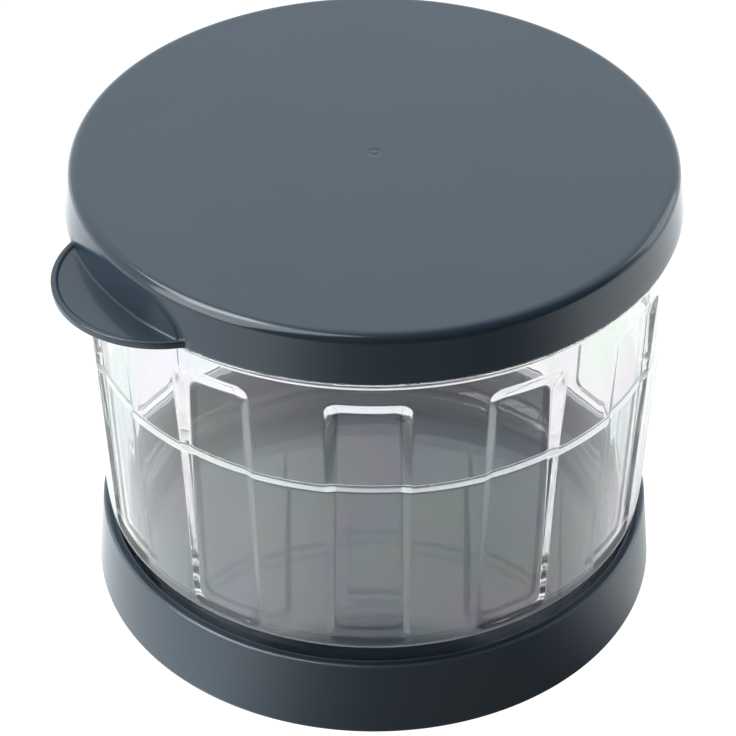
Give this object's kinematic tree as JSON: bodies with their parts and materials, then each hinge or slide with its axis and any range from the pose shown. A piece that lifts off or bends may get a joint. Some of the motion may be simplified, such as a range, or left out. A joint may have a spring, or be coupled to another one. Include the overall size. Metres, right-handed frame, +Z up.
{
  "type": "food chopper bowl set",
  "caption": "Clear round chopper bowl with recessed wall panels, flat storage lid with thumb tab, and low non-slip base cup.",
  "frame": {"origin": "on the bowl's axis, on the surface that the set stands on", "axes": "+Z up along the bowl's axis, -Y the front, with the thumb tab 54 degrees to the left of the front"},
  "size_m": [0.1329, 0.1324, 0.11],
  "materials": {
    "grip_rubber": "matt soft rubber",
    "cup_plastic": "satin moulded plastic, slate blue",
    "clear_plastic": "polished clear plastic",
    "lid_plastic": "satin moulded plastic, slate blue"
  },
  "bodies": {
    "base": {"base_cup": "cup_plastic", "non_slip_ring": "grip_rubber"},
    "bowl": {"bowl": "clear_plastic"},
    "lid": {"storage_lid": "lid_plastic"}
  },
  "joints": [
    {"name": "bowl_lift", "type": "slide", "parent": "base", "child": "bowl", "axis": [0, 0, 1], "range_m": [0, 0.04]},
    {"name": "lid_lift", "type": "slide", "parent": "bowl", "child": "lid", "axis": [0, 0, 1], "range_m": [0, 0.06]}
  ]
}
